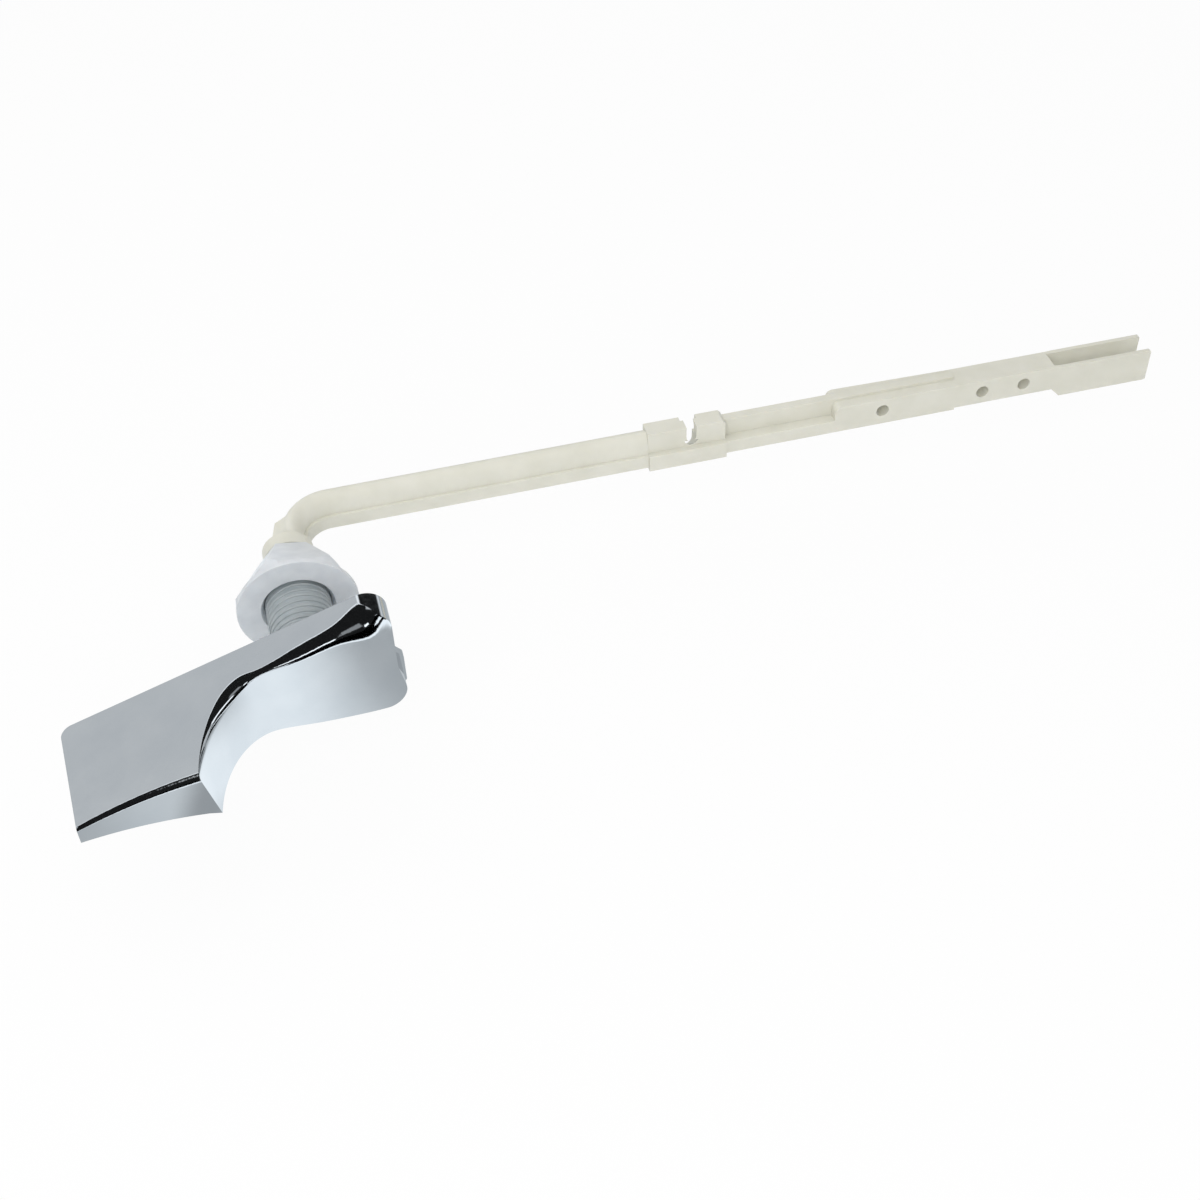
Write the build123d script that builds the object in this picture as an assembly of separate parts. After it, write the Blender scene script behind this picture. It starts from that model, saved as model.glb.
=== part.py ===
"""Cistern lever: a chromed handle outside the tank turns a long plastic arm inside it.

Frame: +X runs along the arm, +Y points into the tank and +Z is up. The origin is on the turning
axis, in the plane where the bushing's lip seats on the outside of the tank wall. Millimetres.
"""
import math
import os

from build123d import *

# Bushing that passes through the tank wall
SHANK_DIAMETER = 15.2
SHANK_LENGTH = 24.5
LIP_WIDTH = 1.9
LIP_THICKNESS = 2.6
SHAFT_CLEARANCE = 0.06

# Nut on the bushing, backed off the wall seat
WALL_GRIP = 16.0
NUT_LENGTH = 16.0
NUT_FLANGE_DIAMETER = 28.2
NUT_FLANGE_THICKNESS = 1.2
NUT_HEX_FLATS = 26.0
NUT_HEX_HEIGHT = 1.3
NUT_HEX_TURN = 50.0
NUT_CORNER_DIAMETER = 27.8
NUT_CORNER_HEIGHT = 4.8
NUT_NECK_DIAMETER = 12.2
NUT_SHOULDER_BULGE = 2.4
NUT_BORE_LENGTH = 9.5
NUT_MOUTH_WIDTH = 0.9
NUT_MOUTH_DEPTH = 1.6
THREAD_CLEARANCE = 0.12
NUT_NECK_CLEARANCE = 0.35

# Arm: shaft, stop collar and elbow
SHAFT_DIAMETER = 9.2
PLUG_SIDE = 6.4
PLUG_LENGTH = 5.0
PLUG_CLEARANCE = 0.04
STOP_DIAMETER = 12.2
STOP_THICKNESS = 3.7
STOP_CLEARANCE = 0.3
ARM_SETBACK = 49.7
ELBOW_SHIFT = 1.7
ELBOW_LEG = 3.7
GUSSET_LENGTH = 8.0
GUSSET_DROP = 0.3
GUSSET_SLANT = 3.3

# Arm: section of the first length, an arch on a slightly wider base
ARM_WIDTH = 7.0
ARM_DEPTH_BELOW_AXIS = 4.5
BASE_HEIGHT = 3.7
ARCH_HEIGHT = 5.4
LEDGE = 0.75

# Arm: notched collar for the chain
COLLAR_START = 92.4
COLLAR_LENGTH = 20.4
COLLAR_PROUD = 0.5
COLLAR_DROP = 0.9
COLLAR_HEAD_WIDTH = 4.8
COLLAR_HEAD_HEIGHT = 5.9
COLLAR_HEAD_BEVEL = 0.8
NOTCH_PLACE = 11.4
NOTCH_WIDTH = 2.6
NOTCH_DEPTH = 4.2
NOTCH_SLOPE = 38.0
NOTCH_LIP = 0.8
NOTCH_SEAT_WIDTH = 4.2

# Arm: webbed rail, solid bar and forked end
WEB_THICKNESS = 2.3
WEB_SETBACK = 0.5
WEB_HEIGHT = 4.9
BAR_START = 141.9
BAR_HEIGHT = 7.2
BAR_LIFT = 0.6
BAR_FLARE = 0.8
BAR_CORNER = 1.8
RAIL_END = 175.1
CHAIN_HOLE_DIAMETER = 3.4
CHAIN_HOLE_PLACES = (154.9, 182.5, 194.1)
FORK_START = 202.6
FORK_RAMP = 2.2
ARM_REACH = 229.8
BLADE_THICKNESS = 1.15
BLADE_PROUD = 0.35
BLADE_RISE = -0.2
BLADE_DROP = 2.3
BLADE_CORNER = 0.5

# Handle: a wedge seen from the front, a hatchet seen from above
HANDLE_GAP = 0.5
HUB_TOP = 12.0
TOP_SLOPE = 18.4
HUB_END = 18.9
HUB_REACH = 21.3
HUB_BOTTOM = 11.5
HUB_BOTTOM_FALL = 1.6
HUB_TOP_CORNER = 5.0
HUB_BOTTOM_CORNER = 4.6
HUB_FLARE_DROP = 1.0
HUB_FLARE_ROUNDING = 9.0
REAR_RIM_REACH = 20.8
REAR_RIM_DROP = 1.2
REAR_RIM_HEIGHT = 10.4
REAR_RIM_THICKNESS = 2.0
REAR_RIM_SLANT = 2.2
REAR_RIM_CORNER = 1.0
HUB_DEPTH = 9.6
HUB_END_DEPTH = 6.0
SWEEP_START = -12.0
SWEEP_WIDTH = 14.9
SWEEP_DEPTH = 26.6
PADDLE_START = -26.6
PADDLE_END = -53.6
PADDLE_DEPTH = 30.7
PADDLE_HOLLOW = 1.3
PADDLE_BOTTOM = 10.2
PADDLE_SKEW = 2.6
HEEL_BOTTOM = 9.1
PADDLE_PLAN_CORNER = 2.4
FACE_LEAN = 12.0
CROWN_MIDDLE = 1.4
CROWN_END = 5.6
CROWN_END_DROP = 8.2
CROWN_SWEEP = 2.8
CROWN_HEEL = 1.6
CROWN_PADDLE = 0.8
CASTING_WALL = 1.9
POCKET_START = -16.0
RECESS_CLEARANCE = 0.5
RECESS_END_CLEARANCE = 0.4

# Places worked out from the sizes above
shank_radius = SHANK_DIAMETER / 2
shaft_radius = SHAFT_DIAMETER / 2
lip_radius = shank_radius + LIP_WIDTH
nut_front = WALL_GRIP
nut_back = nut_front + NUT_LENGTH
stop_front = nut_back + STOP_CLEARANCE
stop_back = stop_front + STOP_THICKNESS
arm_bottom = -ARM_DEPTH_BELOW_AXIS
ledge_level = arm_bottom + BASE_HEIGHT
collar_end = COLLAR_START + COLLAR_LENGTH
elbow_radius = ARM_SETBACK - stop_back - ELBOW_LEG
handle_back = -HANDLE_GAP
top_rise = math.tan(math.radians(TOP_SLOPE))


def ring(radius, y_from, y_to):
    """Cylinder about the turning axis between two places on it."""
    return Plane.XZ.offset(-y_to) * extrude(Circle(radius), y_to - y_from)


def bar(x_from, x_to, y_from, y_to, z_from, z_to):
    """Rectangular block between two corners."""
    middle = ((x_from + x_to) / 2, (y_from + y_to) / 2, (z_from + z_to) / 2)
    return Pos(*middle) * Box(x_to - x_from, y_to - y_from, z_to - z_from)


def make_bushing():
    """Lipped sleeve whose shank goes through the tank wall."""
    sleeve = ring(lip_radius, -LIP_THICKNESS, 0) + ring(shank_radius, 0, SHANK_LENGTH)
    return sleeve - ring(shaft_radius + SHAFT_CLEARANCE, -LIP_THICKNESS, SHANK_LENGTH)


def make_nut():
    """Flanged nut whose six flats lean in to a neck round the shaft, with its corners domed."""
    hex_front = nut_front + NUT_FLANGE_THICKNESS
    hex_back = hex_front + NUT_HEX_HEIGHT
    round_back = hex_front + NUT_CORNER_HEIGHT
    corner = NUT_CORNER_DIAMETER / 2
    neck = NUT_NECK_DIAMETER / 2
    to_corner = 1 / math.cos(math.radians(30))
    flats = NUT_HEX_FLATS / 2
    wide = Plane.XZ.offset(-hex_back) * RegularPolygon(flats * to_corner, 6, rotation=NUT_HEX_TURN)
    narrow = Plane.XZ.offset(-nut_back) * RegularPolygon(neck * to_corner, 6, rotation=NUT_HEX_TURN)
    body = extrude(wide, hex_back - hex_front) + loft([wide, narrow], ruled=True)
    run = (nut_back - round_back, corner - neck)
    chord = math.hypot(*run)
    middle = ((corner + neck) / 2 + NUT_SHOULDER_BULGE * run[0] / chord,
              (round_back + nut_back) / 2 + NUT_SHOULDER_BULGE * run[1] / chord)
    outline = Polyline((corner, round_back), (corner, hex_front), (0, hex_front), (0, nut_back),
                       (neck, nut_back))
    shoulder = ThreePointArc((neck, nut_back), middle, (corner, round_back))
    body &= revolve(make_face(outline + shoulder), Axis.Y)
    body += ring(NUT_FLANGE_DIAMETER / 2, nut_front, hex_front)
    bore_end = nut_front + NUT_BORE_LENGTH
    bore = shank_radius + THREAD_CLEARANCE
    body -= ring(bore, nut_front, bore_end)
    mouth_end = nut_front + NUT_MOUTH_DEPTH
    mouth = make_face(Polyline((0, nut_front), (bore + NUT_MOUTH_WIDTH, nut_front), (bore, mouth_end),
                               (0, mouth_end), close=True))
    body -= revolve(mouth, Axis.Y)
    return body - ring(shaft_radius + NUT_NECK_CLEARANCE, bore_end, nut_back)


def arm_section():
    """Section of the first length: an arch standing on a base that is a ledge wider."""
    shoulder = ARM_WIDTH / 2 - LEDGE
    base = Pos(0, arm_bottom + BASE_HEIGHT / 2) * Rectangle(ARM_WIDTH, BASE_HEIGHT)
    upper = Pos(0, ARCH_HEIGHT / 2) * Rectangle(2 * shoulder, ARCH_HEIGHT)
    arch = Pos(0, ledge_level) * (Ellipse(shoulder, ARCH_HEIGHT) & upper)
    return base + arch


def make_elbow_run():
    """The bent first length of the arm, from the stop collar to the notched collar."""
    path = FilletPolyline((ELBOW_SHIFT, stop_back, 0), (ELBOW_SHIFT, ARM_SETBACK, 0),
                          (COLLAR_START, ARM_SETBACK, 0), radius=elbow_radius)
    start = Plane((ELBOW_SHIFT, stop_back, 0), x_dir=(1, 0, 0), z_dir=(0, -1, 0))
    return sweep(start * arm_section(), path)


def make_gusset():
    """Flared root on the outer side of the elbow, with a top that slants up to the arch."""
    outer = -STOP_DIAMETER / 2 * math.cos(math.asin(2 * ARM_DEPTH_BELOW_AXIS / STOP_DIAMETER))
    inner = ELBOW_SHIFT - ARM_WIDTH / 2
    top = ledge_level + ARCH_HEIGHT - GUSSET_DROP
    foot = (outer, stop_back)
    tip = (inner, stop_back + GUSSET_LENGTH)
    plan = make_face(Polyline(foot, tip, (ELBOW_SHIFT, tip[1]), (ELBOW_SHIFT, stop_back), close=True))
    root = Pos(0, 0, arm_bottom) * extrude(plan, top - arm_bottom)
    front = Plane((0, stop_back, 0), x_dir=(1, 0, 0), z_dir=(0, -1, 0))
    slope = make_face(Polyline((outer, arm_bottom), (ELBOW_SHIFT, arm_bottom), (ELBOW_SHIFT, top),
                               (outer, top - GUSSET_SLANT), close=True))
    return root & extrude(front * slope, -GUSSET_LENGTH)


def make_collar():
    """Block round the arm with a head that holds the chain in an open notch."""
    half = ARM_WIDTH / 2 + COLLAR_PROUD
    y_mid = ARM_SETBACK
    top = ledge_level + COLLAR_HEAD_HEIGHT
    skirt = bar(COLLAR_START, collar_end, y_mid - half, y_mid + half, arm_bottom - COLLAR_DROP, ledge_level)
    head = bar(COLLAR_START, collar_end, y_mid - COLLAR_HEAD_WIDTH / 2, y_mid + COLLAR_HEAD_WIDTH / 2,
               ledge_level, top)
    end_edge = head.edges().filter_by(Axis.Y).sort_by(Axis.Z)[-2:].sort_by(Axis.X)[-1]
    head = chamfer(end_edge, COLLAR_HEAD_BEVEL)
    return skirt + head


def make_notch():
    """Cutter for the open chain notch: a narrow slit in front and a wider seat for a bead behind it.

    The round bottom of both falls away to the back.
    """
    x_mid = COLLAR_START + NOTCH_PLACE
    head_front = ARM_SETBACK - COLLAR_HEAD_WIDTH / 2
    foot_level = ledge_level + COLLAR_HEAD_HEIGHT - NOTCH_DEPTH + NOTCH_WIDTH / 2
    reach = 2 * ARM_WIDTH
    cutter = None
    for width, start in ((NOTCH_WIDTH, -reach / 4), (NOTCH_SEAT_WIDTH, NOTCH_LIP)):
        slot = bar(-width / 2, width / 2, start, reach, 0, reach)
        slot += Plane.XZ.offset(-reach) * extrude(Circle(width / 2), reach - start)
        cutter = slot if cutter is None else cutter + slot
    return Pos(x_mid, head_front, foot_level) * Rot(-NOTCH_SLOPE, 0, 0) * cutter


def make_rail():
    """Flat rail with a thin web on top, running from the collar into the bar."""
    half = ARM_WIDTH / 2
    web = WEB_THICKNESS / 2
    rail = bar(collar_end, RAIL_END, ARM_SETBACK - half, ARM_SETBACK + half, arm_bottom, ledge_level)
    web_mid = ARM_SETBACK + WEB_SETBACK
    rib = bar(collar_end, RAIL_END, web_mid - web, web_mid + web, ledge_level, ledge_level + WEB_HEIGHT)
    return rail + rib


def make_bar():
    """Solid bar with the cross holes for the chain hook."""
    half = ARM_WIDTH / 2
    bottom = arm_bottom + BAR_LIFT
    front, back = ARM_SETBACK - half, ARM_SETBACK + half
    plan = make_face(Polyline((BAR_START, front), (FORK_START, front), (FORK_START, back), (RAIL_END, back),
                              (BAR_START, back + BAR_FLARE), close=True))
    body = Pos(0, 0, bottom) * extrude(plan, BAR_HEIGHT)
    lead = body.edges().filter_by(Axis.Y).sort_by(Axis.X)[:2].sort_by(Axis.Z)[-1]
    return fillet(lead, BAR_CORNER)


def make_blade(side):
    """One blade of the fork, with a ramp out to its thicker, taller pad."""
    inner = ARM_WIDTH / 2 + BLADE_PROUD - BLADE_THICKNESS
    outer = ARM_WIDTH / 2 + BLADE_PROUD
    bottom = arm_bottom + BAR_LIFT
    top = bottom + BAR_HEIGHT
    pad = bar(FORK_START + FORK_RAMP, ARM_REACH, inner, outer, bottom - BLADE_DROP, top + BLADE_RISE)
    pad = fillet(pad.edges().filter_by(Axis.Y).group_by(Axis.X)[-1], BLADE_CORNER)
    near = Plane.YZ.offset(FORK_START) * Pos((inner + ARM_WIDTH / 2) / 2, (bottom + top) / 2) * Rectangle(
        ARM_WIDTH / 2 - inner, BAR_HEIGHT)
    pad_middle = (bottom - BLADE_DROP + top + BLADE_RISE) / 2
    far = Plane.YZ.offset(FORK_START + FORK_RAMP) * Pos((inner + outer) / 2, pad_middle) * Rectangle(
        BLADE_THICKNESS, BAR_HEIGHT + BLADE_DROP + BLADE_RISE)
    blade = pad + loft([near, far], ruled=True)
    if side < 0:
        blade = mirror(blade, Plane.XZ)
    return Pos(0, ARM_SETBACK, 0) * blade


def make_elbow():
    """Near half of the plastic arm: plug, shaft, stop collar and bent length up to the notched collar."""
    plug_back = -LIP_THICKNESS - RECESS_END_CLEARANCE
    elbow = ring(shaft_radius, plug_back, stop_front) + ring(STOP_DIAMETER / 2, stop_front, stop_back)
    elbow += bar(-PLUG_SIDE / 2, PLUG_SIDE / 2, plug_back - PLUG_LENGTH, plug_back,
                 -PLUG_SIDE / 2, PLUG_SIDE / 2)
    return elbow + make_elbow_run() + make_gusset()


def make_arm():
    """Far half of the plastic arm: notched collar, webbed rail, bar with cross holes and fork."""
    arm = make_collar() + make_rail() + make_bar()
    for side in (-1, 1):
        arm += make_blade(side)
    arm -= make_notch()
    hole_level = arm_bottom + BAR_LIFT + BAR_HEIGHT / 2
    for place in CHAIN_HOLE_PLACES:
        arm -= Plane.XZ.offset(-ARM_SETBACK - ARM_WIDTH) * Pos(place, hole_level) * extrude(
            Circle(CHAIN_HOLE_DIAMETER / 2), 2 * ARM_WIDTH)
    return arm


def top_level(x):
    """Height of the handle's flat top above the axis at a place along the arm's direction."""
    return HUB_TOP + top_rise * x


def front_outline():
    """The handle's wedge outline seen from the front."""
    end_bottom = (HUB_REACH, -HUB_BOTTOM - HUB_BOTTOM_FALL)
    end_middle = (HUB_END, -HUB_FLARE_DROP)
    end_top = (HUB_END, top_level(HUB_END))
    far = PADDLE_END - PADDLE_SKEW
    heel = (PADDLE_START, -HEEL_BOTTOM)
    tip_bottom = (far, -PADDLE_BOTTOM)
    tip_top = (far, top_level(far))
    face = make_face(Polyline(tip_top, end_top, end_middle, end_bottom, heel, tip_bottom, close=True))
    rounded = {end_top: HUB_TOP_CORNER, end_middle: HUB_FLARE_ROUNDING, end_bottom: HUB_BOTTOM_CORNER}
    for (x, z), radius in rounded.items():
        corner = face.vertices().sort_by_distance((x, z, 0))[0]
        face = fillet(corner, radius)
    return face


def tip_trim():
    """Plan of all that is kept of the paddle, with its skewed end and rounded back corner."""
    far = (PADDLE_END - PADDLE_SKEW, handle_back)
    slope = PADDLE_SKEW / PADDLE_DEPTH
    front = (PADDLE_END + slope * PADDLE_DEPTH, handle_back - 2 * PADDLE_DEPTH)
    past_hub = 2 * HUB_REACH
    face = make_face(Polyline(far, front, (past_hub, front[1]), (past_hub, handle_back), close=True))
    corner = face.vertices().sort_by_distance((*far, 0))[0]
    return Pos(0, 0, -4 * HUB_BOTTOM) * extrude(fillet(corner, PADDLE_PLAN_CORNER), 8 * HUB_BOTTOM)


def make_rear_rim():
    """Thin rim at the back of the hub's lower end, a little proud of it."""
    top, bottom = -REAR_RIM_DROP, -REAR_RIM_DROP - REAR_RIM_HEIGHT
    shoulder = (REAR_RIM_REACH, top - REAR_RIM_SLANT)
    foot = (REAR_RIM_REACH, bottom)
    face = make_face(Polyline((HUB_END / 2, top), (HUB_END, top), shoulder, foot, (HUB_END / 2, bottom),
                              close=True))
    for x, z in (shoulder, foot):
        face = fillet(face.vertices().sort_by_distance((x, z, 0))[0], REAR_RIM_CORNER)
    return Pos(0, handle_back, 0) * (Plane.XZ * extrude(face, REAR_RIM_THICKNESS))


def hub_depth(x):
    """How far the handle's front stands out from its back, from the hub end to the paddle."""
    if x >= SWEEP_START:
        share = (x - SWEEP_START) / (HUB_REACH - SWEEP_START)
        return HUB_DEPTH - (HUB_DEPTH - HUB_END_DEPTH) * share ** 2
    share = (SWEEP_START - x) / SWEEP_WIDTH
    return HUB_DEPTH + SWEEP_DEPTH * (1 - math.sqrt(1 - share ** 2))


def crown_radius(x):
    """Rounding between the handle's top and front, widest at the hub end."""
    if x >= SWEEP_START:
        share = (x - SWEEP_START) / (HUB_REACH - SWEEP_START)
        return CROWN_MIDDLE + (CROWN_END - CROWN_MIDDLE) * share ** 1.2
    share = (SWEEP_START - x) / (SWEEP_START - PADDLE_START)
    bump = math.sin(math.pi * share)
    return CROWN_MIDDLE + (CROWN_HEEL - CROWN_MIDDLE) * share + (CROWN_SWEEP - CROWN_MIDDLE) * bump


def crown_drop(x):
    """How far the crown reaches down the front, more than its rounding towards the hub end."""
    share = max(0, (x - SWEEP_START) / (HUB_REACH - SWEEP_START))
    return crown_radius(x) + (CROWN_END_DROP - CROWN_END) * share ** 3


def handle_section(x, depth, crown, drop):
    """One leaning slice of the handle: flat top, rounded crown and straight front."""
    lean = math.radians(FACE_LEAN)
    slice_plane = Plane((x, handle_back, top_level(x)), x_dir=(0, -1, 0),
                        z_dir=(-math.cos(lean), 0, -math.sin(lean)))
    low = -2.5 * (HUB_TOP + HUB_BOTTOM)
    outline = Polyline((depth, -drop), (depth, low), (0, low), (0, 0), (depth - crown, 0))
    rounding = EllipticalCenterArc((depth - crown, -drop), crown, drop, start_angle=0, arc_size=90)
    return slice_plane * make_face(outline + rounding)


def pocket_section(x, depth):
    """One leaning slice of the hollow under the handle."""
    lean = math.radians(FACE_LEAN)
    slice_plane = Plane((x, handle_back, top_level(x)), x_dir=(0, -1, 0),
                        z_dir=(-math.cos(lean), 0, -math.sin(lean)))
    low = 2.5 * (HUB_TOP + HUB_BOTTOM)
    middle = Pos((depth + CASTING_WALL) / 2, -(low + CASTING_WALL) / 2)
    return slice_plane * middle * Rectangle(depth - CASTING_WALL, low - CASTING_WALL)


def make_pocket():
    """Hollow open to below that leaves the sweep and the paddle as thin casting walls."""
    steps = 6
    far = PADDLE_START - CASTING_WALL
    slices = []
    for step in range(steps + 1):
        x = POCKET_START + (far - POCKET_START) * math.sin(math.pi / 2 * step / steps)
        slices.append(pocket_section(x, hub_depth(x + CASTING_WALL) - PADDLE_HOLLOW - CASTING_WALL))
    end_depth = PADDLE_DEPTH - PADDLE_HOLLOW - CASTING_WALL
    slices.append(pocket_section(PADDLE_END + 1.5 * CASTING_WALL, end_depth))
    return loft(slices, ruled=True)


def make_handle():
    """Chromed handle: two lofted lengths trimmed to the front outline, with a recess and a socket."""
    sweep_steps = 8
    hub_steps = 5
    places = [HUB_REACH - (HUB_REACH - SWEEP_START) * step / hub_steps for step in range(hub_steps + 1)]
    span = math.asin((SWEEP_START - PADDLE_START) / SWEEP_WIDTH)
    places += [SWEEP_START - SWEEP_WIDTH * math.sin(span * step / sweep_steps)
               for step in range(1, sweep_steps + 1)]
    hub = loft([handle_section(x, hub_depth(x), crown_radius(x), crown_drop(x)) for x in places])
    heel_depth = hub_depth(PADDLE_START)
    past_end = PADDLE_END - 2 * PADDLE_SKEW
    middle = (PADDLE_START + past_end) / 2
    middle_crown = (CROWN_HEEL + CROWN_PADDLE) / 2
    paddle = loft([handle_section(PADDLE_START, heel_depth, CROWN_HEEL, CROWN_HEEL),
                   handle_section(middle, (heel_depth + PADDLE_DEPTH) / 2 - PADDLE_HOLLOW,
                                  middle_crown, middle_crown),
                   handle_section(past_end, PADDLE_DEPTH, CROWN_PADDLE, CROWN_PADDLE)])
    wedge = Plane.XZ * extrude(front_outline(), 2 * PADDLE_DEPTH)
    handle = ((hub + paddle) & wedge & tip_trim()) + make_rear_rim() - make_pocket()
    recess_end = -LIP_THICKNESS - RECESS_END_CLEARANCE
    handle -= ring(lip_radius + RECESS_CLEARANCE, recess_end, handle_back)
    socket = PLUG_SIDE / 2 + PLUG_CLEARANCE
    handle -= bar(-socket, socket, recess_end - PLUG_LENGTH - PLUG_CLEARANCE, recess_end, -socket, socket)
    return handle


def main():
    """Build every piece and write it to its own file."""
    os.makedirs("parts", exist_ok=True)
    pieces = {"handle": make_handle(), "bushing": make_bushing(), "nut": make_nut(),
              "elbow": make_elbow(), "arm": make_arm()}
    for name, piece in pieces.items():
        export_step(piece, f"parts/{name}.step")


if __name__ == "__main__":
    main()
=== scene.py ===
"""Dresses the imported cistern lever: chromed handle, translucent bushing and nut, ivory arm."""

import logging
import math
from dataclasses import dataclass
from enum import Enum
from typing import Callable

import bpy
from mathutils import Matrix, Vector


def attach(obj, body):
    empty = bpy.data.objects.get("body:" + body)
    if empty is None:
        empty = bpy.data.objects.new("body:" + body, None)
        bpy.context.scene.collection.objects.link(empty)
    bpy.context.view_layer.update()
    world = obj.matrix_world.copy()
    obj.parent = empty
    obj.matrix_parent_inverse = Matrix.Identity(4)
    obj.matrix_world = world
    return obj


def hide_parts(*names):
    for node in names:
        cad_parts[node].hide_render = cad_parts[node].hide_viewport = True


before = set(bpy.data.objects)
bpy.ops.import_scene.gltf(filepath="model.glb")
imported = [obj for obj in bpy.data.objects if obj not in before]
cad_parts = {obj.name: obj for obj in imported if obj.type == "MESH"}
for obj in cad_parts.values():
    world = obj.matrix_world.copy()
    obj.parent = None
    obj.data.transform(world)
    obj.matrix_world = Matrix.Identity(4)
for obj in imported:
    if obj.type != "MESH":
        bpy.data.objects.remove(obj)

MM = 0.001
MERGE_DISTANCE = 0.002 * MM
FLAT_ANGLE = math.radians(0.2)
NOISE_LOW, NOISE_HIGH = 0.3, 0.7
WHITE = (1.0, 1.0, 1.0, 1.0)
log = logging.getLogger("cistern_lever")

Colour = tuple[float, float, float]
Shade = tuple[float, float, float, float]
Place = tuple[float, float, float]
Socket = bpy.types.NodeSocket


class Body(Enum):
    """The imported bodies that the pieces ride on."""

    BUSHING = "bushing"
    LEVER = "lever"
    NUT = "nut"


class Slot(Enum):
    """The record's material slots."""

    HANDLE = "handle"
    BUSHING = "bushing"
    NUT = "nut"
    ARM = "arm"


@dataclass(frozen=True)
class EdgeRounding:
    """How the edges of a piece that are sharper than an angle in degrees are rounded."""

    width: float
    segments: int = 2
    angle: float = 32.0


@dataclass(frozen=True)
class ThreadRidge:
    """Sizes of a coarse moulded screw thread."""

    root: float = 7.34 * MM
    crest: float = 7.56 * MM
    start: float = -1.0 * MM
    pitch: float = 1.75 * MM
    turns: int = 13
    steps: int = 72
    foot_width: float = 1.25 * MM
    crest_share: float = 0.4
    section_sides: int = 4
    merge_distance: float = 0.001 * MM


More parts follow.
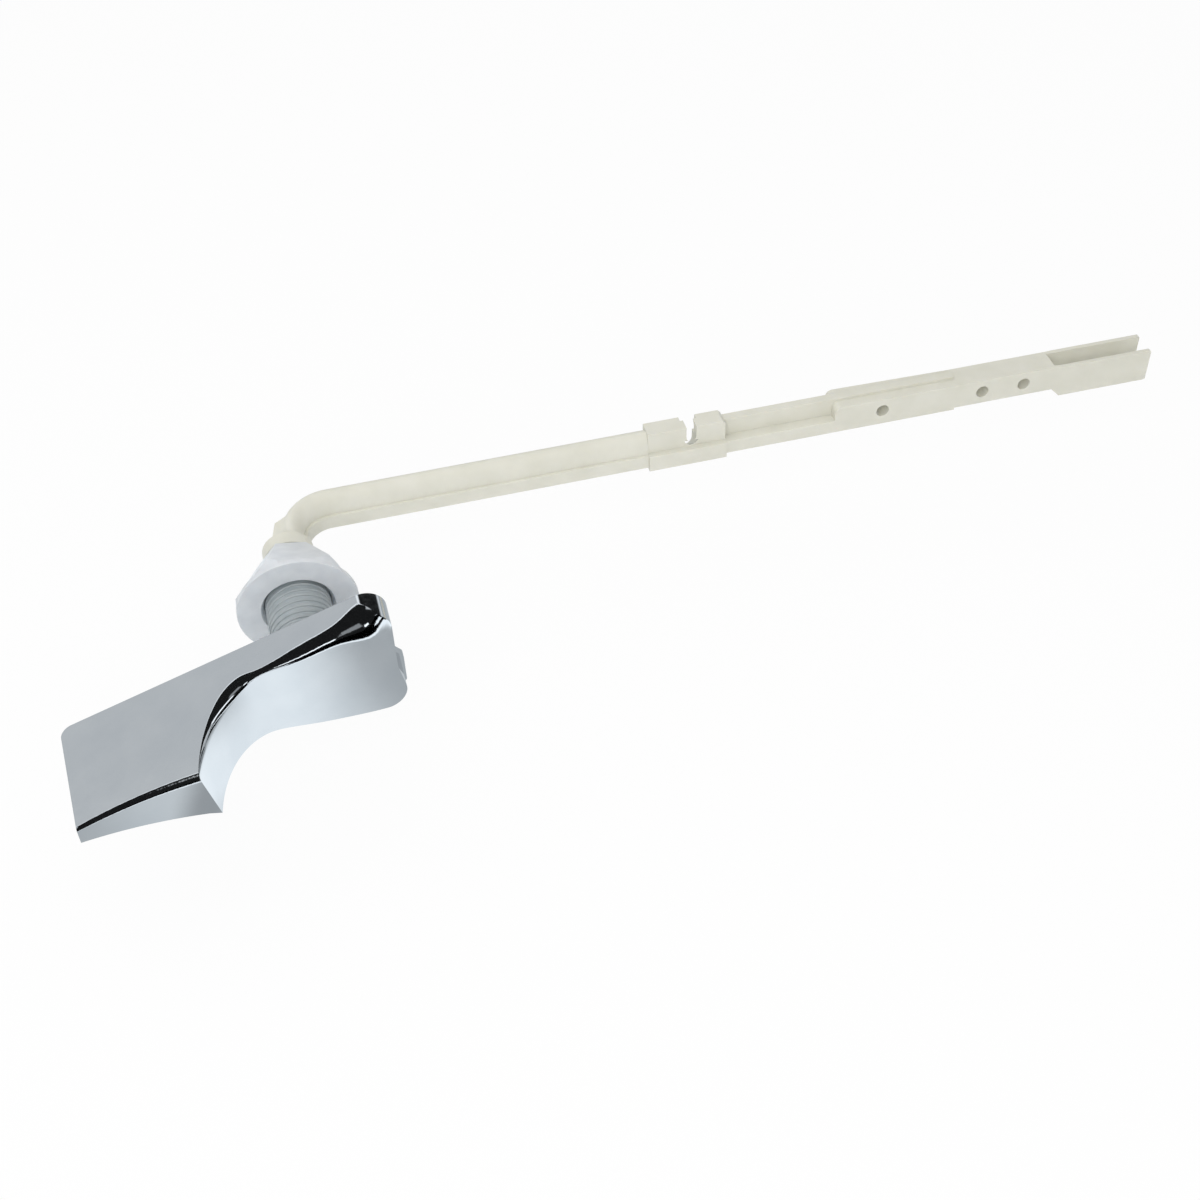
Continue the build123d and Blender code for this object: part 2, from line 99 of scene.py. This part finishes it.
class MeshTools:
    """Edit-mode steps that several pieces share."""

    @staticmethod
    def deselect() -> None:
        """Leave nothing selected, so that an operator acts on one piece only."""
        bpy.ops.object.select_all(action="DESELECT")

    @staticmethod
    def activate(piece: bpy.types.Object) -> None:
        """Make one piece the selected and active object.

        Args:
            piece: The object to work on.
        """
        MeshTools.deselect()
        piece.select_set(True)
        bpy.context.view_layer.objects.active = piece

    @staticmethod
    def copy_node(node: str, name: str) -> bpy.types.Object:
        """Copy a CAD node's mesh into a new piece with its corners merged.

        Args:
            node: The CAD node to copy.
            name: The new piece's name.

        Returns:
            The new object, at the origin.
        """
        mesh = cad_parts[node].data.copy()
        mesh.materials.clear()
        piece = bpy.data.objects.new(name, mesh)
        bpy.context.scene.collection.objects.link(piece)
        MeshTools.activate(piece)
        bpy.ops.mesh.customdata_custom_splitnormals_clear()
        bpy.ops.object.mode_set(mode="EDIT")
        bpy.ops.mesh.select_all(action="SELECT")
        bpy.ops.mesh.remove_doubles(threshold=MERGE_DISTANCE)
        bpy.ops.mesh.dissolve_limited(angle_limit=FLAT_ANGLE)
        bpy.ops.object.mode_set(mode="OBJECT")
        return piece

    @staticmethod
    def pick(piece: bpy.types.Object, test: Callable[[Vector], bool]) -> None:
        """Go into edit mode with only the vertices selected that pass a test of their place.

        Args:
            piece: The piece to work on.
            test: Says whether a vertex at a place is selected.
        """
        MeshTools.activate(piece)
        bpy.ops.object.mode_set(mode="EDIT")
        bpy.ops.mesh.select_mode(type="VERT")
        bpy.ops.mesh.select_all(action="DESELECT")
        bpy.ops.object.mode_set(mode="OBJECT")
        for vertex in piece.data.vertices:
            vertex.select = test(vertex.co)
        bpy.ops.object.mode_set(mode="EDIT")

    @staticmethod
    def helix(name: str, ridge: ThreadRidge) -> bpy.types.Object:
        """Wind a ridge with a four-sided section round the turning axis.

        Args:
            name: The new piece's name.
            ridge: The ridge's sizes.

        Returns:
            The closed helical ridge.
        """
        middle = (ridge.crest + ridge.root) / 2
        MeshTools.deselect()
        bpy.ops.mesh.primitive_plane_add(size=1.0)
        piece = bpy.context.object
        piece.name = name
        bpy.ops.object.mode_set(mode="EDIT")
        bpy.ops.mesh.select_all(action="SELECT")
        bpy.ops.transform.resize(value=(ridge.crest - ridge.root, ridge.foot_width, 1.0))
        bpy.ops.transform.translate(value=(middle, ridge.start, 0.0))
        bpy.ops.object.mode_set(mode="OBJECT")
        MeshTools.pick(piece, lambda place: place.x > middle)
        bpy.ops.transform.resize(value=(1.0, ridge.crest_share, 1.0),
                                 center_override=(ridge.crest, ridge.start, 0.0))
        bpy.ops.mesh.select_all(action="SELECT")
        bpy.ops.mesh.delete(type="ONLY_FACE")
        bpy.ops.object.mode_set(mode="OBJECT")
        winding = piece.modifiers.new("winding", "SCREW")
        winding.axis = "Y"
        winding.screw_offset = ridge.pitch
        winding.iterations = ridge.turns
        winding.steps = winding.render_steps = ridge.steps
        bpy.ops.object.modifier_apply(modifier=winding.name)
        bpy.ops.object.mode_set(mode="EDIT")
        bpy.ops.mesh.select_all(action="SELECT")
        bpy.ops.mesh.remove_doubles(threshold=ridge.merge_distance)
        bpy.ops.mesh.fill_holes(sides=ridge.section_sides)
        bpy.ops.mesh.normals_make_consistent(inside=False)
        bpy.ops.object.mode_set(mode="OBJECT")
        bpy.ops.object.shade_smooth()
        return piece

    @staticmethod
    def merge(piece: bpy.types.Object, *others: bpy.types.Object) -> None:
        """Join other pieces into one.

        Args:
            piece: The piece that stays.
            others: The pieces that become part of it.
        """
        MeshTools.activate(piece)
        for other in others:
            other.select_set(True)
        bpy.ops.object.join()

    @staticmethod
    def soften(piece: bpy.types.Object, rounding: EdgeRounding) -> None:
        """Round a piece's sharp edges and shade it smooth, with large flat faces left flat.

        Args:
            piece: The piece to finish.
            rounding: Which edges are rounded, and how.
        """
        MeshTools.activate(piece)
        angle = math.radians(rounding.angle)
        bevel = piece.modifiers.new("edge_rounding", "BEVEL")
        bevel.width = rounding.width
        bevel.segments = rounding.segments
        bevel.limit_method = "ANGLE"
        bevel.angle_limit = angle
        bevel.harden_normals = False
        bpy.ops.object.modifier_apply(modifier=bevel.name)
        bpy.ops.object.shade_smooth_by_angle(angle=angle)
        flat = piece.modifiers.new("flat_faces", "WEIGHTED_NORMAL")
        flat.keep_sharp = True
        bpy.ops.object.modifier_apply(modifier=flat.name)


@dataclass(frozen=True)
class Fade:
    """A smooth change from a low level to a high one as a value passes between two marks."""

    start: float
    end: float
    low: float = 0.0
    high: float = 1.0


@dataclass(frozen=True)
class Grain:
    """Noise on a piece's own coordinates, in cells per metre and octaves of finer noise."""

    scale: float
    detail: float = 3.0


@dataclass(frozen=True)
class Relief:
    """A bump that follows a grain, with the share of it that shows and its depth in metres."""

    grain: Grain
    strength: float
    depth: float


class NodeBoard:
    """A node tree, with short calls to add and join nodes."""

    def __init__(self, tree: bpy.types.NodeTree) -> None:
        """Take a material's or a world's node tree to work on."""
        self.tree = tree

    def add(self, kind: str, **inputs: object) -> bpy.types.Node:
        """Add a node and set its inputs by name.

        Args:
            kind: The node's type name.
            inputs: Socket values, with underscores for spaces in the socket's name.

        Returns:
            The new node.
        """
        node = self.tree.nodes.new(kind)
        for key, value in inputs.items():
            node.inputs[key.replace("_", " ")].default_value = value
        return node

    def join(self, output: Socket, target: Socket) -> None:
        """Link one node's output to another's input."""
        self.tree.links.new(output, target)

    def axes(self, vector: Socket) -> tuple[Socket, Socket, Socket]:
        """Split a vector.

        Args:
            vector: The vector output to split.

        Returns:
            Its three parts.
        """
        split = self.add("ShaderNodeSeparateXYZ")
        self.join(vector, split.inputs["Vector"])
        return split.outputs["X"], split.outputs["Y"], split.outputs["Z"]

    def math(self, operation: str, first: Socket, *others: Socket | float) -> Socket:
        """Combine values one after another.

        Args:
            operation: The math nodes' operation.
            first: The first value.
            others: The values that follow, outputs or numbers.

        Returns:
            The result.
        """
        for other in others:
            node = self.tree.nodes.new("ShaderNodeMath")
            node.operation = operation
            self.join(first, node.inputs[0])
            if isinstance(other, float):
                node.inputs[1].default_value = other
            else:
                self.join(other, node.inputs[1])
            first = node.outputs["Value"]
        return first

    def product(self, first: Socket, *others: Socket | float) -> Socket:
        """Multiply values."""
        return self.math("MULTIPLY", first, *others)

    def largest(self, first: Socket, *others: Socket | float) -> Socket:
        """Take the largest of several values."""
        return self.math("MAXIMUM", first, *others)

    def fade(self, value: Socket, fade: Fade) -> Socket:
        """Go smoothly from one level to another as a value passes between two marks.

        Args:
            value: The value to follow.
            fade: The marks and the levels.

        Returns:
            The level.
        """
        node = self.add("ShaderNodeMapRange", From_Min=fade.start, From_Max=fade.end,
                        To_Min=fade.low, To_Max=fade.high)
        node.interpolation_type = "SMOOTHSTEP"
        self.join(value, node.inputs["Value"])
        return node.outputs["Result"]

    def between(self, value: Socket, *fades: Fade) -> Socket:
        """Multiply the levels of several fades of one value."""
        return self.product(*(self.fade(value, fade) for fade in fades))

    def mix(self, factor: Socket, first: Socket, second: Socket) -> Socket:
        """Mix two shaders.

        Args:
            factor: Share of the second shader.
            first: The first shader.
            second: The second shader.

        Returns:
            The mixed shader.
        """
        node = self.add("ShaderNodeMixShader")
        for source, target in zip((factor, first, second), node.inputs):
            self.join(source, target)
        return node.outputs["Shader"]


class FinishBoard(NodeBoard):
    """A material's node tree, with the patterns that the finishes share."""

    def __init__(self, name: str) -> None:
        """Start a material that has only its shader and output.

        Args:
            name: The material's name.
        """
        self.material = bpy.data.materials.new(name)
        self.material.use_nodes = True
        super().__init__(self.material.node_tree)
        self.shader = next(n for n in self.tree.nodes if n.type == "BSDF_PRINCIPLED")

    def noise(self, grain: Grain) -> Socket:
        """Add noise on the object's own coordinates.

        Args:
            grain: The noise's scale and detail.

        Returns:
            The noise's factor output.
        """
        place = self.add("ShaderNodeTexCoord")
        texture = self.add("ShaderNodeTexNoise", Scale=grain.scale, Detail=grain.detail)
        self.join(place.outputs["Object"], texture.inputs["Vector"])
        return texture.outputs["Fac"]

    def tint(self, grain: Grain, dark: Colour, light: Colour) -> None:
        """Cloud the surface between two near colours.

        Args:
            grain: The noise to follow.
            dark: Colour where the noise is weak.
            light: Colour where the noise is strong.
        """
        ramp = self.add("ShaderNodeValToRGB")
        stops = zip(ramp.color_ramp.elements, (NOISE_LOW, NOISE_HIGH), (dark, light))
        for element, mark, colour in stops:
            element.position = mark
            element.color = (*colour, 1.0)
        self.join(self.noise(grain), ramp.inputs["Fac"])
        self.join(ramp.outputs["Color"], self.shader.inputs["Base Color"])

    def roughen(self, grain: Grain, low: float, high: float) -> None:
        """Vary the surface's roughness.

        Args:
            grain: The noise to follow.
            low: Roughness where the noise is weak.
            high: Roughness where the noise is strong.
        """
        ranged = self.add("ShaderNodeMapRange", From_Min=NOISE_LOW, From_Max=NOISE_HIGH,
                          To_Min=low, To_Max=high)
        self.join(self.noise(grain), ranged.inputs["Value"])
        self.join(ranged.outputs["Result"], self.shader.inputs["Roughness"])

    def bump(self, relief: Relief) -> None:
        """Raise and lower the surface a little.

        Args:
            relief: The bump's grain, strength and depth.
        """
        node = self.add("ShaderNodeBump", Strength=relief.strength, Distance=relief.depth)
        self.join(self.noise(relief.grain), node.inputs["Height"])
        self.join(node.outputs["Normal"], self.shader.inputs["Normal"])

    def set(self, **values: object) -> None:
        """Set constant values straight on the shader's sockets."""
        for key, value in values.items():
            self.shader.inputs[key.replace("_", " ")].default_value = value

    def show(self, shader: Socket) -> None:
        """Send a shader to the material's output in place of the plain one."""
        output = next(n for n in self.tree.nodes if n.type == "OUTPUT_MATERIAL")
        self.join(shader, output.inputs["Surface"])


@dataclass(frozen=True)
class ChromePlate:
    """Bright chrome plating over a casting, with a faint haze and waviness."""

    dark: Colour = (0.55, 0.565, 0.58)
    light: Colour = (0.60, 0.61, 0.62)
    clouds: Grain = Grain(90.0)
    haze: tuple[float, float] = (0.05, 0.10)
    haze_grain: Grain = Grain(700.0, 4.0)
    waves: Relief = Relief(Grain(55.0, 1.0), 0.05, 0.1 * MM)

    def make(self) -> bpy.types.Material:
        """Build the plating's material.

        Returns:
            The material.
        """
        board = FinishBoard("chrome_plate")
        board.set(Metallic=1.0)
        board.tint(self.clouds, self.dark, self.light)
        board.roughen(self.haze_grain, *self.haze)
        board.bump(self.waves)
        return board.material


@dataclass(frozen=True)
class IvoryAcetal:
    """Slightly waxy ivory moulding with a fine grain."""

    dark: Colour = (0.675, 0.667, 0.58)
    light: Colour = (0.725, 0.715, 0.635)
    clouds: Grain = Grain(160.0, 4.0)
    gloss: tuple[float, float] = (0.36, 0.48)
    gloss_grain: Grain = Grain(900.0)
    skin: Relief = Relief(Grain(3200.0, 2.0), 0.12, 0.05 * MM)
    wax: float = 0.12
    wax_depth: float = 1.2 * MM
    wax_spread: Colour = (1.0, 0.9, 0.6)
    refraction: float = 1.48

    def make(self) -> bpy.types.Material:
        """Build the moulding's material.

        Returns:
            The material.
        """
        board = FinishBoard("ivory_acetal")
        board.set(IOR=self.refraction, Subsurface_Weight=self.wax,
                  Subsurface_Scale=self.wax_depth, Subsurface_Radius=self.wax_spread)
        board.tint(self.clouds, self.dark, self.light)
        board.roughen(self.gloss_grain, *self.gloss)
        board.bump(self.skin)
        return board.material


@dataclass(frozen=True)
class CloudyNylon:
    """Translucent cool white moulding with a cloudy body."""

    name: str
    dark: Colour = (0.68, 0.705, 0.735)
    light: Colour = (0.77, 0.795, 0.82)
    clouds: Grain = Grain(260.0, 4.0)
    gloss: tuple[float, float] = (0.28, 0.4)
    gloss_grain: Grain = Grain(800.0)
    skin: Relief = Relief(Grain(1500.0, 2.0), 0.1, 0.05 * MM)
    clearness: float = 0.1
    milk: float = 0.4
    milk_depth: float = 2.0 * MM
    milk_spread: Colour = (0.9, 1.0, 1.1)
    refraction: float = 1.5

    def make(self) -> bpy.types.Material:
        """Build the moulding's material.

        Returns:
            The material.
        """
        board = FinishBoard(self.name)
        board.set(Transmission_Weight=self.clearness, IOR=self.refraction,
                  Subsurface_Weight=self.milk, Subsurface_Scale=self.milk_depth,
                  Subsurface_Radius=self.milk_spread)
        board.tint(self.clouds, self.dark, self.light)
        board.roughen(self.gloss_grain, *self.gloss)
        board.bump(self.skin)
        return board.material


def dressed(piece: bpy.types.Object, body: Body, slot: Slot, *nodes: str) -> bpy.types.Object:
    """Fix a finished piece to its body in place of its CAD nodes.

    Args:
        piece: The finished piece.
        body: The body it rides on.
        slot: The record's slot for its finish; not used.
        nodes: The CAD nodes it stands for.

    Returns:
        The same piece.
    """
    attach(piece, body.value)
    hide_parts(*nodes)
    return piece


@dataclass
class Handle:
    """Chromed hatchet-shaped handle outside the tank."""

    edge: EdgeRounding = EdgeRounding(0.5 * MM, 3)
    finish: ChromePlate = ChromePlate()

    def build(self) -> list[bpy.types.Object]:
        """Make the handle from its CAD node.

        Returns:
            The finished piece.
        """
        piece = MeshTools.copy_node("handle", "handle_casting")
        MeshTools.soften(piece, self.edge)
        piece.data.materials.append(self.finish.make())
        return [dressed(piece, Body.LEVER, Slot.HANDLE, "handle")]


@dataclass
class Bushing:
    """Threaded sleeve through the tank wall."""

    edge: EdgeRounding = EdgeRounding(0.2 * MM)
    shank_radius: float = 7.6 * MM
    shank_root: float = 7.38 * MM
    shank_margin: float = 0.1 * MM
    thread: ThreadRidge = ThreadRidge()
    # The bushing's colours are set darker than the nut's: painted shade of the nut's mouth, where
    # the shank is seen.
    finish: CloudyNylon = CloudyNylon("cloudy_bushing_painted_shade", dark=(0.40, 0.46, 0.49),
                                      light=(0.50, 0.555, 0.58))

    def on_shank(self, place: Vector) -> bool:
        """Tell whether a place lies on the outside of the shank."""
        return abs(math.hypot(place.x, place.z) - self.shank_radius) < self.shank_margin

    def build(self) -> list[bpy.types.Object]:
        """Make the sleeve from its CAD node, with its shank turned down and a thread wound on it.

        Returns:
            The finished piece.
        """
        piece = MeshTools.copy_node("bushing", "threaded_bushing")
        MeshTools.pick(piece, self.on_shank)
        share = self.shank_root / self.shank_radius
        bpy.ops.transform.resize(value=(share, 1.0, share), center_override=(0.0, 0.0, 0.0))
        bpy.ops.object.mode_set(mode="OBJECT")
        MeshTools.soften(piece, self.edge)
        MeshTools.merge(piece, MeshTools.helix("bushing_thread", self.thread))
        piece.data.materials.append(self.finish.make())
        return [dressed(piece, Body.BUSHING, Slot.BUSHING, "bushing")]


@dataclass
class Nut:
    """Flanged nut that holds the bushing to the wall."""

    edge: EdgeRounding = EdgeRounding(0.5 * MM, 3, 20.0)
    finish: CloudyNylon = CloudyNylon("cloudy_nut")

    def build(self) -> list[bpy.types.Object]:
        """Make the nut from its CAD node.

        Returns:
            The finished piece.
        """
        piece = MeshTools.copy_node("nut", "flanged_nut")
        MeshTools.soften(piece, self.edge)
        piece.data.materials.append(self.finish.make())
        return [dressed(piece, Body.NUT, Slot.NUT, "nut")]


@dataclass
class Arm:
    """Long ivory arm inside the tank, in its near and far halves."""

    edge: EdgeRounding = EdgeRounding(0.22 * MM)
    finish: IvoryAcetal = IvoryAcetal()

    def build(self) -> list[bpy.types.Object]:
        """Make both halves from their CAD nodes.

        Returns:
            The finished pieces.
        """
        material = self.finish.make()
        pieces = []
        for node, name in (("elbow", "elbow_moulding"), ("arm", "arm_moulding")):
            piece = MeshTools.copy_node(node, name)
            MeshTools.soften(piece, self.edge)
            piece.data.materials.append(material)
            pieces.append(dressed(piece, Body.LEVER, Slot.ARM, node))
        return pieces


def lay_sheet(name: str, span: float, height: float,
              material: bpy.types.Material) -> bpy.types.Object:
    """Lay a level square sheet that belongs to the stage.

    Args:
        name: The sheet's name.
        span: Length of its sides.
        height: Its place along Z.
        material: Its material.

    Returns:
        The sheet.
    """
    MeshTools.deselect()
    bpy.ops.mesh.primitive_plane_add(size=span, location=(0.0, 0.0, height))
    sheet = bpy.context.object
    sheet.name = name
    sheet.data.materials.append(material)
    return sheet


@dataclass(frozen=True)
class Floor:
    """Plain white floor that keeps a soft shadow, below the paddle at the end of its stroke."""

    height: float = -42.0 * MM
    span: float = 6.0
    colour: Shade = (0.86, 0.86, 0.86, 1.0)
    roughness: float = 0.9
    white_share: float = 0.92

    def build(self) -> None:
        """Lay the floor, nearly white to the camera and to what shows it."""
        board = FinishBoard("studio_floor")
        board.set(Base_Color=self.colour, Roughness=self.roughness)
        white = board.add("ShaderNodeEmission", Color=WHITE, Strength=1.0)
        path = board.add("ShaderNodeLightPath").outputs
        seen = board.largest(path["Is Camera Ray"], path["Is Transmission Ray"],
                             path["Is Glossy Ray"])
        share = board.product(seen, self.white_share)
        board.show(board.mix(share, board.shader.outputs["BSDF"], white.outputs["Emission"]))
        lay_sheet("studio_floor", self.span, self.height, board.material)


@dataclass(frozen=True)
class MirroredTable:
    """Glowing table that only mirrored rays from above see, close under the part: painted
    reflection.

    It has a pool of painted light by the handle's sweep and a line and a spot of painted light
    ahead of it. Its dips by the heel and the hub are the handle's painted shadow, it has painted
    contact shade under the part, and it is dark far off. Its marks are places along X and Y. Those
    of the front end and the line are along Y on a slant that follows the handle.
    """

    height: float = -14.7 * MM
    span: float = 6.0
    colour: Shade = (0.93, 1.0, 1.05, 1.0)
    slant: float = 0.23
    paddle_level: Fade = Fade(-54.0 * MM, -38.0 * MM, 0.68, 0.9)
    # The fades by the heel and the hub dim the table: painted shadow of the handle.
    heel_painted_shadow: Fade = Fade(-37.0 * MM, -30.0 * MM, 1.0, 0.58)
    sweep_pool: Fade = Fade(-28.0 * MM, -14.0 * MM, 1.0, 2.55)
    hub_painted_shadow: Fade = Fade(-7.0 * MM, 25.0 * MM, 1.0, 0.46)
    right_end: Fade = Fade(40.0 * MM, 30.0 * MM)
    back_part: Fade = Fade(-6.0 * MM, 2.0 * MM)
    left_end: Fade = Fade(-70.0 * MM, -58.0 * MM)
    front_end: Fade = Fade(-43.0 * MM, -40.0 * MM)
    left_part: Fade = Fade(-20.0 * MM, -50.0 * MM)
    line: tuple[Fade, Fade] = (Fade(-56.0 * MM, -52.0 * MM), Fade(-40.0 * MM, -43.0 * MM))
    spot_along: tuple[Fade, Fade] = (Fade(-50.0 * MM, -46.0 * MM), Fade(-5.0 * MM, -9.0 * MM))
    spot_across: tuple[Fade, Fade] = (Fade(-118.0 * MM, -112.0 * MM), Fade(-68.0 * MM, -72.0 * MM))
    line_level: float = 1.5
    contact_reach: float = 7.0 * MM
    contact_shade: Fade = Fade(0.1, 0.7, 0.05, 1.0)

    def build(self) -> None:
        """Lay the table, which rays from below pass through."""
        board = FinishBoard("mirrored_table")
        glow = board.add("ShaderNodeEmission", Color=self.colour)
        board.join(self.level(board), glow.inputs["Strength"])
        below = board.add("ShaderNodeNewGeometry").outputs["Backfacing"]
        clear = board.add("ShaderNodeBsdfTransparent").outputs["BSDF"]
        board.show(board.mix(below, glow.outputs["Emission"], clear))
        table = lay_sheet("mirrored_table", self.span, self.height, board.material)
        table.visible_camera = table.visible_diffuse = False
        table.visible_transmission = table.visible_shadow = False

    def level(self, board: NodeBoard) -> Socket:
        """Draw the painted light and shade on the table.

        Args:
            board: The table's node tree.

        Returns:
            How bright the table is at each place.
        """
        x, y, _ = board.axes(board.add("ShaderNodeNewGeometry").outputs["Position"])
        slanted = board.math("SUBTRACT", y, board.product(x, self.slant))
        left = board.fade(board.math("SUBTRACT", x, y), self.left_part)
        front = board.product(board.fade(x, self.left_end), board.fade(slanted, self.front_end))
        back = board.largest(board.fade(y, self.back_part), board.fade(x, self.right_end))
        # The pool is painted light, dimmed by the painted shadow of the handle by the heel and the
        # hub.
        pool = board.between(x, self.paddle_level, self.heel_painted_shadow, self.sweep_pool, self.hub_painted_shadow)
        pool = board.product(pool, board.largest(left, front), back)
        line = board.between(slanted, *self.line)
        spot = board.product(board.between(x, *self.spot_along),
                             board.between(y, *self.spot_across))
        lines = board.product(board.largest(line, spot), self.line_level)
        # Painted contact shade: the table darkens where the part comes close above it.
        contact = board.add("ShaderNodeAmbientOcclusion", Distance=self.contact_reach)
        shade = board.fade(contact.outputs["AO"], self.contact_shade)
        return board.product(board.math("ADD", pool, lines), shade)


@dataclass(frozen=True)
class MirroredRoom:
    """Dark room that only mirrored rays see.

    It has pale walls, a low glow on the right and strips of window in front. Its marks are the
    parts along X, Y and Z of a direction of length one.
    """

    colour: Shade = (0.95, 1.0, 1.04, 1.0)
    dark_level: float = 0.014
    wall_level: float = 0.76
    back_wall: tuple[Fade, Fade, Fade] = (Fade(-0.16, -0.24), Fade(0.46, 0.52), Fade(0.06, 0.16))
    rim_level: float = 0.6
    rim_right: Fade = Fade(-0.37, -0.31)
    rim_front: Fade = Fade(0.645, 0.60)
    far_wall: Fade = Fade(0.735, 0.765)
    left_wall: tuple[Fade, Fade] = (Fade(-0.64, -0.72), Fade(-0.35, -0.20))
    front_wall: tuple[Fade, Fade] = (Fade(0.08, 0.16), Fade(-0.60, -0.70))
    front_wall_rise: tuple[Fade, Fade] = (Fade(0.24, 0.30), Fade(0.60, 0.50))
    front_wall_share: float = 0.5
    glow: tuple[Fade, Fade, Fade] = (Fade(0.10, 0.30), Fade(-0.20, 0.10), Fade(0.20, 0.06))
    window_level: float = 2.0
    window_front: Fade = Fade(0.05, -0.05)
    window_rise: tuple[Fade, Fade] = (Fade(0.08, 0.12), Fade(0.26, 0.20))
    right_window: Fade = Fade(0.56, 0.68)
    middle_window: tuple[Fade, Fade] = (Fade(-0.20, -0.14), Fade(0.10, 0.05))

    def level(self, board: NodeBoard) -> Socket:
        """Draw the light in the room.

        Args:
            board: The world's node tree.

        Returns:
            How bright the room is in each direction.
        """
        x, y, z = board.axes(board.add("ShaderNodeTexCoord").outputs["Generated"])
        rim = board.largest(board.fade(y, self.rim_front), board.fade(x, self.rim_right))
        shine = board.math("ADD", board.product(rim, self.rim_level), self.wall_level)
        back = board.product(*map(board.fade, (x, y, z), self.back_wall), shine)
        left = board.product(*map(board.fade, (x, y), self.left_wall))
        front = board.product(*map(board.fade, (x, y), self.front_wall),
                              board.between(z, *self.front_wall_rise), self.front_wall_share)
        pale = board.largest(board.fade(y, self.far_wall), left, front)
        walls = board.product(pale, self.wall_level)
        glow = board.product(*map(board.fade, (x, y, z), self.glow))
        panes = board.math("ADD", board.fade(x, self.right_window),
                           board.between(x, *self.middle_window))
        window = board.product(panes, board.fade(y, self.window_front),
                               board.between(z, *self.window_rise), self.window_level)
        return board.largest(back, walls, glow, window, self.dark_level)


@dataclass(frozen=True)
class Lamp:
    """Square soft lamp, with its side in metres and its power in watts."""

    name: str
    place: Place
    size: float
    power: float

    def hang(self, target: Place) -> None:
        """Hang the lamp and aim it.

        Args:
            target: The place it shines at.
        """
        bpy.ops.object.light_add(type="AREA", location=self.place)
        lamp = bpy.context.object
        lamp.name = self.name
        lamp.data.shape = "SQUARE"
        lamp.data.size = self.size
        lamp.data.energy = self.power
        aim = Vector(target) - Vector(self.place)
        lamp.rotation_euler = aim.to_track_quat("-Z", "Y").to_euler()
        lamp.visible_glossy = False


@dataclass(frozen=True)
class PhotoCamera:
    """Camera at the photograph's fitted view."""

    place: Place = (2.8 * MM, -270.8 * MM, 274.7 * MM)
    right: Place = (0.9665, -0.255, -0.024)
    up: Place = (0.1965, 0.676, 0.7105)
    lens: float = 51.0
    sensor: float = 36.0
    clip_start: float = 10.0 * MM

    def build(self) -> None:
        """Place the camera and make it the scene's own."""
        data = bpy.data.cameras.new("photo_camera")
        data.lens = self.lens
        data.sensor_width = self.sensor
        data.clip_start = self.clip_start
        camera = bpy.data.objects.new("photo_camera", data)
        bpy.context.scene.collection.objects.link(camera)
        right = Vector(self.right).normalized()
        back = right.cross(Vector(self.up)).normalized()
        turn = Matrix((right, back.cross(right), back)).transposed().to_4x4()
        camera.matrix_world = Matrix.Translation(self.place) @ turn
        bpy.context.scene.camera = camera


@dataclass
class Studio:
    """Pale floor, soft light, what the chrome mirrors, and the camera of the photograph."""

    floor: Floor = Floor()
    table: MirroredTable = MirroredTable()
    room: MirroredRoom = MirroredRoom()
    fill: float = 0.70
    lamp_target: Place = (0.06, 0.02, 0.0)
    lamps: tuple[Lamp, ...] = (Lamp("overhead", (-0.10, 0.10, 0.60), 0.6, 0.7),
                               Lamp("front", (-0.14, -0.50, 0.44), 0.45, 2.0))
    camera: PhotoCamera = PhotoCamera()

    def build(self) -> None:
        """Make the floor, the mirrored table, the world, the lamps and the camera."""
        self.floor.build()
        self.table.build()
        self.make_world()
        for lamp in self.lamps:
            lamp.hang(self.lamp_target)
        self.camera.build()
        bpy.context.scene.view_settings.view_transform = "Standard"

    def make_world(self) -> None:
        """Show white to the camera, an even fill to the part and the room to mirrored rays."""
        world = bpy.data.worlds.new("studio_room")
        world.use_nodes = True
        bpy.context.scene.world = world
        world.node_tree.nodes.clear()
        board = NodeBoard(world.node_tree)
        path = board.add("ShaderNodeLightPath").outputs
        fill = board.add("ShaderNodeBackground", Color=WHITE, Strength=self.fill)
        white = board.add("ShaderNodeBackground", Color=WHITE, Strength=1.0)
        room = board.add("ShaderNodeBackground", Color=self.room.colour)
        board.join(self.room.level(board), room.inputs["Strength"])
        unseen = board.mix(path["Is Glossy Ray"], fill.outputs["Background"],
                           room.outputs["Background"])
        seen = board.largest(path["Is Camera Ray"], path["Is Transmission Ray"])
        output = board.add("ShaderNodeOutputWorld")
        board.join(board.mix(seen, unseen, white.outputs["Background"]), output.inputs["Surface"])


def main() -> None:
    """Build every sub-assembly in order, then the studio."""
    logging.basicConfig(level=logging.INFO, format="%(name)s: %(message)s")
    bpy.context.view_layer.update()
    for assembly in (Handle(), Bushing(), Nut(), Arm()):
        for piece in assembly.build():
            log.info("%s has %d faces", piece.name, len(piece.data.polygons))
    Studio().build()


if __name__ == "__main__":
    main()
